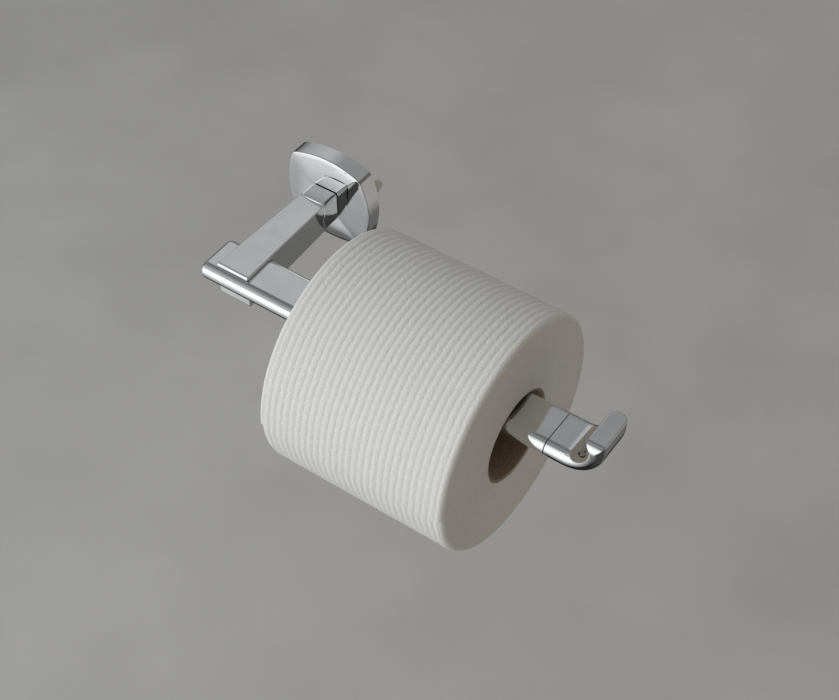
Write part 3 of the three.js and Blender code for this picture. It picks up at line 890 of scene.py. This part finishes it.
class Surround:
    """The world: a dim studio of soft-edged cards, whose brightness depends only on the direction."""

    def __init__(self):
        world = bpy.data.worlds.new("studio")
        bpy.context.scene.world = world
        world.use_nodes = True
        self.nodes = world.node_tree.nodes
        self.links = world.node_tree.links
        self.towards = self.nodes.new("ShaderNodeTexCoord").outputs["Generated"]

    def card(self, behind, level, axis, start, end):
        """Blends a level in where the direction's share along an axis runs from start to end.

        What is behind, and the level, are each a number or another card.
        """
        along = self.nodes.new("ShaderNodeVectorMath")
        along.operation = "DOT_PRODUCT"
        along.inputs[1].default_value = Vector(axis).normalized()
        self.links.new(self.towards, along.inputs[0])
        edge = self.nodes.new("ShaderNodeMapRange")
        edge.inputs["From Min"].default_value = start
        edge.inputs["From Max"].default_value = end
        self.links.new(along.outputs["Value"], edge.inputs["Value"])
        blend = self.nodes.new("ShaderNodeMix")
        self.links.new(edge.outputs["Result"], blend.inputs["Factor"])
        for value, socket in ((behind, "A"), (level, "B")):
            if isinstance(value, float):
                blend.inputs[socket].default_value = value
            else:
                self.links.new(value, blend.inputs[socket])
        return blend.outputs["Result"]

    def show(self, level, left, right):
        """Makes the world from a level, with a tint that runs from the left to the right."""
        along = self.nodes.new("ShaderNodeSeparateXYZ")
        self.links.new(self.towards, along.inputs[0])
        tint = self.nodes.new("ShaderNodeValToRGB")
        for element, colour in zip(tint.color_ramp.elements, (left, right)):
            element.color = (*colour, 1)
        self.links.new(along.outputs["X"], tint.inputs["Fac"])
        background = self.nodes["Background"]
        self.links.new(tint.outputs["Color"], background.inputs["Color"])
        self.links.new(level, background.inputs["Strength"])


def past(angle):
    """Axis across x whose share is above zero just past an angle, in degrees from +Y up over the top."""
    turn = math.radians(angle)
    return (0, -math.sin(turn), math.cos(turn))


DARK = 0.015
DOWN = (0, 0, -1)
RIGHT = (1, 0, 0)
LEFT_TINT = (0.99, 1.0, 1.0)
RIGHT_TINT = (1.0, 0.94, 0.88)


def front_cards(around):
    """The side that the photograph was taken from: a wide window, brightest level with the object."""
    overhead = 0.18
    thin_strip = 0.32
    window_top = 0.50
    window = 1.28
    front = around.card(overhead, thin_strip, past(92), -0.01, 0.03)
    front = around.card(front, overhead, past(106), -0.01, 0.01)
    front = around.card(front, window_top, past(117), -0.01, 0.01)
    front = around.card(front, window, past(118), 0, 0.5)
    front = around.card(front, DARK, DOWN, 0.15, 0.90)
    # a small light low on the left, a wider one high on the left, and shade on the right
    front = around.card(front, 0.60, (-0.504, -0.465, -0.728), 0.991, 0.998)
    front = around.card(front, 0.50, (-0.55, -0.50, 0.67), 0.95, 0.99)
    return around.card(front, 0.06, RIGHT, -0.05, 0.35)


def back_cards(around):
    """The side towards the wall: grey, and darker to the right and downwards."""
    back = around.card(0.49, 0.30, RIGHT, -0.46, -0.29)
    back = around.card(back, 0.15, DOWN, -0.6, 0.3)
    # on the right, shade above a lighter patch, then shade low on the left
    back = around.card(back, 0.12, (0.75, 0.55, 0.35), 0.88, 0.96)
    back = around.card(back, 0.38, (0.75, 0.60, -0.20), 0.83, 0.95)
    return around.card(back, 0.04, (-0.83, 0.45, -0.33), 0.80, 0.92)


def studio():
    softbox("key", (-0.60, -0.70, 0.48), 1.1, radiance=2.35, colour=(0.94, 0.98, 1.0))
    softbox("back", (0.20, 0.75, 0.60), 1.1, radiance=0.5, colour=(1.0, 0.95, 0.86))
    softbox("fill", (0.92, -0.30, 0.25), 0.8, radiance=0.52, colour=(1.0, 0.77, 0.52))
    around = Surround()
    front = front_cards(around)
    above = around.card(back_cards(around), front, past(57), -0.02, 0.02)
    level = around.card(front, above, past(-65), -0.15, 0.15)
    # a dark patch low behind on the left
    level = around.card(level, DARK, (-0.39, 0.55, -0.74), 0.82, 0.93)
    around.show(level, LEFT_TINT, RIGHT_TINT)


def camera():
    """The photograph's view, fitted to the holder's straight edges and to the roll."""
    azimuth = math.radians(35.23)  # round from straight in front, towards the bar's open end
    elevation = math.radians(47.55)
    roll = math.radians(-0.37)
    distance = 0.7636
    aim_offset = Vector((0.0067, -0.0084, 0.0118))  # from the middle of the object
    aim = (cad_box[0] + cad_box[1]) / 2 + aim_offset
    level = math.cos(elevation)
    back = Vector((math.sin(azimuth) * level, -math.cos(azimuth) * level, math.sin(elevation)))
    data = bpy.data.cameras.new("camera")
    data.lens = 71.4
    data.sensor_width = 36
    view = bpy.data.objects.new("camera", data)
    bpy.context.scene.collection.objects.link(view)
    view.location = aim + back * distance
    view.rotation_mode = "QUATERNION"
    view.rotation_quaternion = (-back).to_track_quat("-Z", "Y") @ Quaternion((0, 0, 1), roll)
    bpy.context.scene.camera = view


camera()
escutcheon()
neck()
arm()
bar()
end_cap()
paper_roll()
cardboard_core()
dress_hardware()
floor()
studio()
bpy.context.scene.view_settings.view_transform = "Standard"
